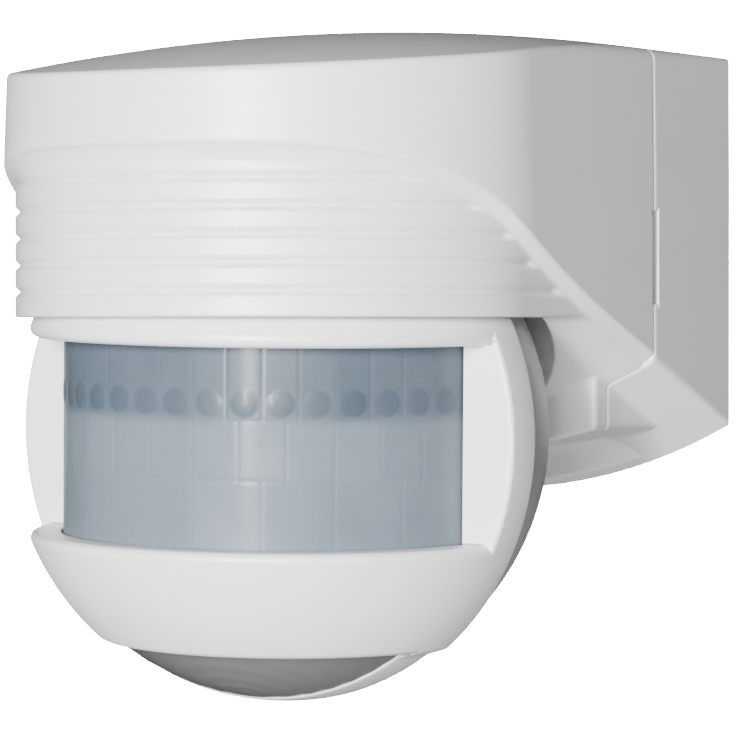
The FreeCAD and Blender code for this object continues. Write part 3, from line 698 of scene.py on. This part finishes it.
def lens_material(name, low, high, rough):
    """Milky polyethylene: the moulded Fresnel rings run round each lens's own centre."""
    mat, tree, shader = material(name, low, rough, subsurface_weight=0.25, coat_weight=0.07,
                                 coat_roughness=0.16, specular_ior_level=0.16)
    shader.inputs["Subsurface Radius"].default_value = (0.6, 0.7, 0.8)
    shader.inputs["Subsurface Scale"].default_value = 0.002
    where = node(tree, "ShaderNodeTexCoord").outputs["Object"]
    spin = tuple(math.radians(v) for v in HEAD_TURN)
    centre = tuple(v / 1000 for v in BALL)
    local = node(tree, "ShaderNodeMapping", {"Vector": where, "Location": centre, "Rotation": spin},
                 vector_type="TEXTURE").outputs[0]
    split = node(tree, "ShaderNodeSeparateXYZ", {"Vector": local})
    x, y, z = (split.outputs[k] for k in range(3))
    angle = maths(tree, "MULTIPLY", maths(tree, "ARCTAN2", x, maths(tree, "MULTIPLY", y, -1)), 180 / math.pi)
    height = maths(tree, "MULTIPLY", z, 1000)
    upper = maths(tree, "GREATER_THAN", height, ROW_SPLIT[0])
    middle = maths(tree, "GREATER_THAN", height, ROW_SPLIT[1])

    def pick(values):
        """A number by row: upper, middle, lower."""
        first = maths(tree, "MULTIPLY_ADD", middle, values[1] - values[2], values[2])
        return maths(tree, "MULTIPLY_ADD", upper, values[0] - values[1], first)

    pitch = pick(PITCH)
    moved = maths(tree, "SUBTRACT", angle, PHASE)
    cell = maths(tree, "FLOORED_MODULO", moved, pitch)
    off = maths(tree, "SUBTRACT", cell, maths(tree, "MULTIPLY", pitch, 0.5))
    across = maths(tree, "MULTIPLY", off, math.radians(LENS_R))
    rise = maths(tree, "SUBTRACT", height, pick(ROW_MIDDLE))
    far = maths(tree, "SQRT", maths(tree, "ADD", maths(tree, "POWER", across, 2.0),
                                    maths(tree, "POWER", maths(tree, "ABSOLUTE", rise), 2.0)))
    rings = maths(tree, "FRACT", maths(tree, "MULTIPLY", far, 1.6))
    bump = node(tree, "ShaderNodeBump", {"Height": rings, "Strength": 0.2, "Distance": 0.0001})
    tree.links.new(bump.outputs["Normal"], shader.inputs["Normal"])
    count = maths(tree, "FLOOR", maths(tree, "DIVIDE", moved, pitch))
    odd = node(tree, "ShaderNodeTexWhiteNoise", {"W": maths(tree, "ADD", count, pick((0.0, 40.0, 90.0)))},
               noise_dimensions="1D").outputs["Value"]
    soft_row = ease(tree, height, ROW_SPLIT[0] - 1.2, ROW_SPLIT[0] + 1.2, 0.62, 0.12)
    beads = maths(tree, "MULTIPLY", ease(tree, far, 1.6, 2.1, -0.14, 0.0), upper)
    shade = maths(tree, "ADD", maths(tree, "MULTIPLY_ADD", odd, 0.12, soft_row), beads)
    ringed = maths(tree, "MULTIPLY_ADD", rings, 0.04, shade)
    cloud = maths(tree, "MULTIPLY_ADD", noise(tree, 90, 3), 0.3, ringed)
    tree.links.new(ramp(tree, cloud, low, high, (0.1, 1.1)), shader.inputs["Base Color"])
    return mat


MATERIALS = {
    "white_plastic": moulded("white_plastic", (0.80, 0.79, 0.775), 0.45, coat_weight=0.5, coat_roughness=0.42,
                             coat_ior=1.75),
    "lens_plastic": lens_material("lens_plastic", (0.05, 0.07, 0.09), (0.155, 0.186, 0.224), 0.42),
    "smoked_lens": moulded("smoked_lens", (0.10, 0.10, 0.097), 0.3, 900, 0.048, 0.05, coat_weight=0.4,
                           coat_roughness=0.1),
    "seal_rubber": moulded("seal_rubber", (0.025, 0.025, 0.027), 0.7, 900, 0.24, 0.15),
    "grey_plastic": moulded("grey_plastic", (0.22, 0.23, 0.24), 0.45),
    "black_plastic": moulded("black_plastic", (0.02, 0.02, 0.022), 0.4),
    "nylon": moulded("nylon", (0.62, 0.60, 0.53), 0.5, 1200, 0.16),
    "board_green": circuit_board("board_green"),
    "bright_metal": metal("bright_metal", (0.62, 0.62, 0.63), 0.28),
    "brass": metal("brass", (0.60, 0.43, 0.16), 0.3),
    "component_blue": moulded("component_blue", (0.03, 0.09, 0.32), 0.25, 700, 0.08, 0.08, coat_weight=0.5),
    "copper_coil": metal("copper_coil", (0.55, 0.22, 0.08), 0.35, 2400),
    "clear_plastic": moulded("clear_plastic", (0.72, 0.70, 0.64), 0.12, 500, 0.032, 0.02, coat_weight=0.6),
}


def finish(piece, body, look):
    piece.data.materials.clear()
    piece.data.materials.append(MATERIALS[look])
    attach(piece, body)


# ---------------------------------------------------------------- pieces
hood = solid("hood_shell", hood_field, (-40, -40, -22), (40, 41.5, 42), (0.55, 0.55, 0.3), "hood", 0.8)
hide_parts("hood_cover")
base = solid("base_shell", base_field, (-40, 34, -27.5), (40, 60.2, 42), (0.5, 0.45, 0.5), "hood")
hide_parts("wall_base")
front = solid("window_shell", front_field, (-39, -39, -39), (39, 1, 39), (0.45, 0.4, 0.4), "head")
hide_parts("head_front_shell")
rear = solid("back_shell", rear_field, (-37, -1, -37), (37, 37, 37), (0.45, 0.45, 0.45), "head")
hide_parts("head_rear_shell")
finish(hood, "hood", "white_plastic")
finish(base, "wall_base", "white_plastic")
finish(front, "head", "white_plastic")
finish(rear, "head", "white_plastic")
finish(strip_lens(), "head", "lens_plastic")
finish(creep_lens(), "head", "smoked_lens")
for part in frame["record"]["subparts"]:
    for holder in frame["nodes"][part["node"]].material_slots:
        holder.material = MATERIALS[part["material_slot"]]


# ---------------------------------------------------------------- camera, light, floor
def aim(item, target):
    item.rotation_euler = (Vector(target) - item.location).to_track_quat("-Z", "Y").to_euler()


def camera():
    """Level with the hood's lower edge, aimed a little down and to the side of the ball's axis."""
    data = bpy.data.cameras.new("camera")
    data.sensor_width = 36.0
    data.lens = 205.72
    item = bpy.data.objects.new("camera", data)
    distance, height, dip, turn = 579.36, SKIRT - 1.79, 0.504, 1.103
    bearing = math.radians(LOOK)
    spot = Vector((distance * math.sin(bearing), BALL.y - distance * math.cos(bearing), height))
    item.location = spot / 1000
    item.rotation_euler = (math.radians(90 - dip), 0, math.radians(LOOK - turn))
    bpy.context.scene.collection.objects.link(item)
    bpy.context.scene.camera = item


def softbox(name, bearing, rise, size, power):
    """A panel that faces the object, at a bearing from the camera's own and an angle above level."""
    data = bpy.data.lights.new(name, "AREA")
    data.shape = "RECTANGLE"
    data.size, data.size_y = size
    data.energy = power
    item = bpy.data.objects.new(name, data)
    turn, lift = math.radians(LOOK + bearing), math.radians(rise)
    away = Vector((math.sin(turn) * math.cos(lift), -math.cos(turn) * math.cos(lift), math.sin(lift)))
    target, distance = Vector((0, -0.05, -0.012)), 0.8
    item.location = target + away * distance
    aim(item, target)
    bpy.context.scene.collection.objects.link(item)


def world():
    """Soft white surroundings, seen by the camera as plain white."""
    scene_world = bpy.data.worlds.new("studio")
    bpy.context.scene.world = scene_world
    scene_world.use_nodes = True
    tree = scene_world.node_tree
    back = tree.nodes["Background"]
    back.inputs["Color"].default_value = (1, 1, 1, 1)
    seen = node(tree, "ShaderNodeLightPath").outputs["Is Camera Ray"]
    seen_strength, lighting_strength = 40.0, 0.022
    strength = maths(tree, "MULTIPLY_ADD", seen, seen_strength, lighting_strength)
    tree.links.new(strength, back.inputs["Strength"])


def floor():
    """A plain pale floor, well below the wall sensor."""
    mesh = bpy.data.meshes.new("floor")
    reach, level = 3.0, -0.6
    corners = [(x * reach, y * reach, level) for x, y in ((-1, -1), (1, -1), (1, 1), (-1, 1))]
    mesh.from_pydata(corners, [], [(0, 1, 2, 3)])
    item = bpy.data.objects.new("floor", mesh)
    bpy.context.scene.collection.objects.link(item)
    mat, _, _ = material("floor_paint", (0.86, 0.86, 0.86), 0.8)
    mesh.materials.append(mat)


camera()
world()
floor()
softbox("window_left", -19, 4, (0.08, 0.3), 18.0)
softbox("window_right", 4, 4, (0.05, 0.3), 0.8)
softbox("window_front", -10, 5, (0.3, 0.3), 2.4)
softbox("spot", -9, 4, (0.12, 0.12), 1.6)
